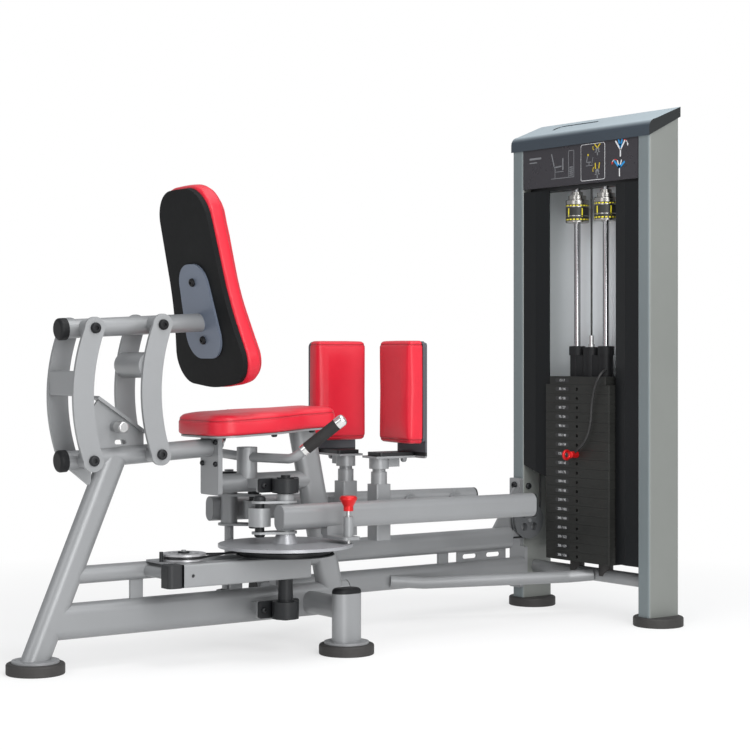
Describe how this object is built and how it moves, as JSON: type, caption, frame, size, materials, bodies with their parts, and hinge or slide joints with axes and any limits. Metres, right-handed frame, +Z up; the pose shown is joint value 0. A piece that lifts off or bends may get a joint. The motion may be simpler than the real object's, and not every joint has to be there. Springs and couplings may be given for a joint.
{
  "type": "hip abductor machine",
  "caption": "Seated hip abductor strength machine: two linked swinging arms with swivelling thigh pads drive a selectorised weight stack by cable; seat back adjusts on links.",
  "frame": {"origin": "middle of the footprint, on the floor", "axes": "+X forward, the way the user faces, towards the weight tower; +Y to the user's left; +Z up"},
  "size_m": [1.9704, 0.7086, 1.5085],
  "materials": {
    "silver_paint": "satin metallic silver-grey powder coat",
    "red_vinyl": "soft grained vinyl upholstery, red",
    "black_plastic": "moulded black plastic",
    "black_paint": "black powder coat",
    "rubber": "black rubber",
    "chrome": "polished",
    "steel": "machined steel",
    "plate_paint": "dark grey-green hammered enamel",
    "silver_plastic": "silver-grey moulded cover",
    "placard_print": "printed instruction panel",
    "black_cord": "woven black cord",
    "cable_jacket": "nylon-coated steel cable",
    "red_anodised": "red anodised"
  },
  "bodies": {
    "frame": {"rubber_feet": "rubber", "floor_beams": "silver_paint", "rear_upright": "silver_paint", "front_post": "silver_paint", "side_rails": "silver_paint", "floor_brace": "silver_paint", "tower_columns": "silver_paint", "tower_crossbars": "silver_paint", "tower_back_panel": "silver_paint", "tower_shrouds": "black_paint", "tower_cover": "silver_plastic", "placard": "placard_print", "guide_rods": "chrome", "stack_buffers": "rubber", "resting_plates": "plate_paint", "seat_frame": "silver_paint", "seat_cushion": "red_vinyl", "handle_bar": "chrome", "handle_grips": "rubber", "pivot_bearings": "black_paint", "lock_quadrant": "silver_paint", "frame_caps": "black_plastic", "frame_bolts": "black_paint", "drive_cable": "cable_jacket"},
    "right_arm": {"right_arm": "silver_paint", "right_arm_fittings": "black_paint"},
    "left_arm": {"left_arm": "silver_paint", "left_arm_fittings": "black_paint"},
    "tie_link": {"tie_link": "silver_paint"},
    "cam": {"range_dial": "silver_paint", "cable_cam": "steel"},
    "stop_lever": {"stop_lever": "silver_paint"},
    "range_pin": {"range_pin": "red_anodised"},
    "right_pad": {"right_pad_bracket": "silver_paint", "right_pad_cushion": "red_vinyl"},
    "left_pad": {"left_pad_bracket": "silver_paint", "left_pad_cushion": "red_vinyl"},
    "rear_links": {"rear_links": "silver_paint"},
    "front_links": {"front_links": "silver_paint"},
    "back": {"back_carrier": "silver_paint", "back_board": "black_plastic", "back_cushion": "red_vinyl", "back_fittings": "black_plastic"},
    "lock_pin": {"lock_pin": "steel"},
    "lifted_stack": {"lifted_plates": "plate_paint", "head_housing": "black_plastic", "selector_stem": "steel", "stack_cable": "cable_jacket", "pin_lanyard": "black_cord"},
    "selector_pin": {"selector_pin": "red_anodised"},
    "add_weight_left": {"add_weight_left": "plate_paint"},
    "add_weight_right": {"add_weight_right": "plate_paint"},
    "rear_pulley": {"rear_pulley": "black_plastic"},
    "idler_pulley": {"idler_pulley": "black_plastic"},
    "tower_pulley": {"tower_pulley": "black_plastic"},
    "top_pulley_left": {"top_pulley_left": "black_plastic"},
    "top_pulley_middle": {"top_pulley_middle": "black_plastic"}
  },
  "joints": [
    {"name": "right_arm_opening", "type": "hinge", "parent": "frame", "child": "right_arm", "pos_m": [-0.26925, -0.1175, 0.366], "axis": [0, 0, -1], "range_deg": [0, 50]},
    {"name": "left_arm_opening", "type": "hinge", "parent": "frame", "child": "left_arm", "pos_m": [-0.26925, 0.1665, 0.366], "axis": [0, 0, 1], "range_deg": [0, 50]},
    {"name": "tie_link_turn", "type": "hinge", "parent": "right_arm", "child": "tie_link", "pos_m": [-0.33625, -0.0975, 0.366], "axis": [0, 0, 1], "range_deg": [0, 54]},
    {"name": "cam_turn", "type": "hinge", "parent": "frame", "child": "cam", "pos_m": [-0.26925, -0.1175, 0.273], "axis": [0, 0, -1], "range_deg": [0, 50]},
    {"name": "stop_lever_swing", "type": "hinge", "parent": "frame", "child": "stop_lever", "pos_m": [-0.26925, -0.1175, 0.233], "axis": [0, 0, 1], "range_deg": [0, 45], "stiffness_Nm_per_rad": 4, "springref_deg": -5.73},
    {"name": "range_pin_pull", "type": "slide", "parent": "right_arm", "child": "range_pin", "axis": [0, 0, 1], "range_m": [0, 0.022], "stiffness_N_per_m": 600, "springref_m": -0.005},
    {"name": "right_pad_swivel", "type": "hinge", "parent": "right_arm", "child": "right_pad", "pos_m": [0.07575, -0.0555, 0.474], "axis": [0, 0, 1], "range_deg": [-90, 0]},
    {"name": "left_pad_swivel", "type": "hinge", "parent": "left_arm", "child": "left_pad", "pos_m": [0.07575, 0.1045, 0.474], "axis": [0, 0, 1], "range_deg": [-80, 0]},
    {"name": "back_adjust", "type": "hinge", "parent": "frame", "child": "rear_links", "pos_m": [-0.79025, 0.0245, 0.52523], "axis": [0, 1, 0], "range_deg": [-8, 12]},
    {"name": "front_links_turn", "type": "hinge", "parent": "frame", "child": "front_links", "pos_m": [-0.59925, 0.0245, 0.53489], "axis": [0, 1, 0], "range_deg": [-8, 12]},
    {"name": "back_level", "type": "hinge", "parent": "rear_links", "child": "back", "pos_m": [-0.78625, 0.0245, 0.85473], "axis": [0, 1, 0], "range_deg": [-12, 8]},
    {"name": "lock_pin_pull", "type": "slide", "parent": "frame", "child": "lock_pin", "axis": [0, -1, 0], "range_m": [0, 0.014], "stiffness_N_per_m": 800, "springref_m": -0.004},
    {"name": "stack_lift", "type": "slide", "parent": "frame", "child": "lifted_stack", "axis": [0, 0, 1], "range_m": [0, 0.106], "deforming": ["stack_cable"]},
    {"name": "selector_pin_pull", "type": "slide", "parent": "lifted_stack", "child": "selector_pin", "axis": [-1, 0, 0], "range_m": [0, 0.07]},
    {"name": "add_weight_left_drop", "type": "slide", "parent": "frame", "child": "add_weight_left", "axis": [0, 0, 1], "range_m": [-0.26, 0]},
    {"name": "add_weight_right_drop", "type": "slide", "parent": "frame", "child": "add_weight_right", "axis": [0, 0, 1], "range_m": [-0.26, 0]},
    {"name": "rear_pulley_spin", "type": "hinge", "parent": "frame", "child": "rear_pulley", "pos_m": [-0.53825, -0.0555, 0.273], "axis": [0, 0, 1], "range_deg": [0, 120]},
    {"name": "idler_pulley_spin", "type": "hinge", "parent": "frame", "child": "idler_pulley", "pos_m": [-0.06375, 0.201, 0.232], "axis": [0, 0, 1], "range_deg": [0, 170]},
    {"name": "tower_pulley_spin", "type": "hinge", "parent": "frame", "child": "tower_pulley", "pos_m": [0.85625, 0.238, 0.271], "axis": [0, 1, 0], "range_deg": [0, 120]},
    {"name": "top_pulley_left_spin", "type": "hinge", "parent": "frame", "child": "top_pulley_left", "pos_m": [0.90775, 0.1865, 1.38], "axis": [-1, 0, 0], "range_deg": [0, 120]},
    {"name": "top_pulley_middle_spin", "type": "hinge", "parent": "frame", "child": "top_pulley_middle", "pos_m": [0.90775, 0.0515, 1.38], "axis": [-1, 0, 0], "range_deg": [0, 120]}
  ],
  "couplings": [
    {"joint": "left_arm_opening", "follows": "right_arm_opening", "ratio": 1},
    {"joint": "cam_turn", "follows": "right_arm_opening", "ratio": 1},
    {"joint": "tie_link_turn", "follows": "right_arm_opening", "ratio": 1.06},
    {"joint": "stack_lift", "follows": "right_arm_opening", "m_per_rad": 0.12},
    {"joint": "rear_pulley_spin", "follows": "right_arm_opening", "ratio": 2.3301},
    {"joint": "tower_pulley_spin", "follows": "right_arm_opening", "ratio": 2.3301},
    {"joint": "top_pulley_left_spin", "follows": "right_arm_opening", "ratio": 2.3301},
    {"joint": "top_pulley_middle_spin", "follows": "right_arm_opening", "ratio": 2.3301},
    {"joint": "idler_pulley_spin", "follows": "right_arm_opening", "ratio": 3.2432},
    {"joint": "front_links_turn", "follows": "back_adjust", "ratio": 1},
    {"joint": "back_level", "follows": "back_adjust", "ratio": -1}
  ]
}
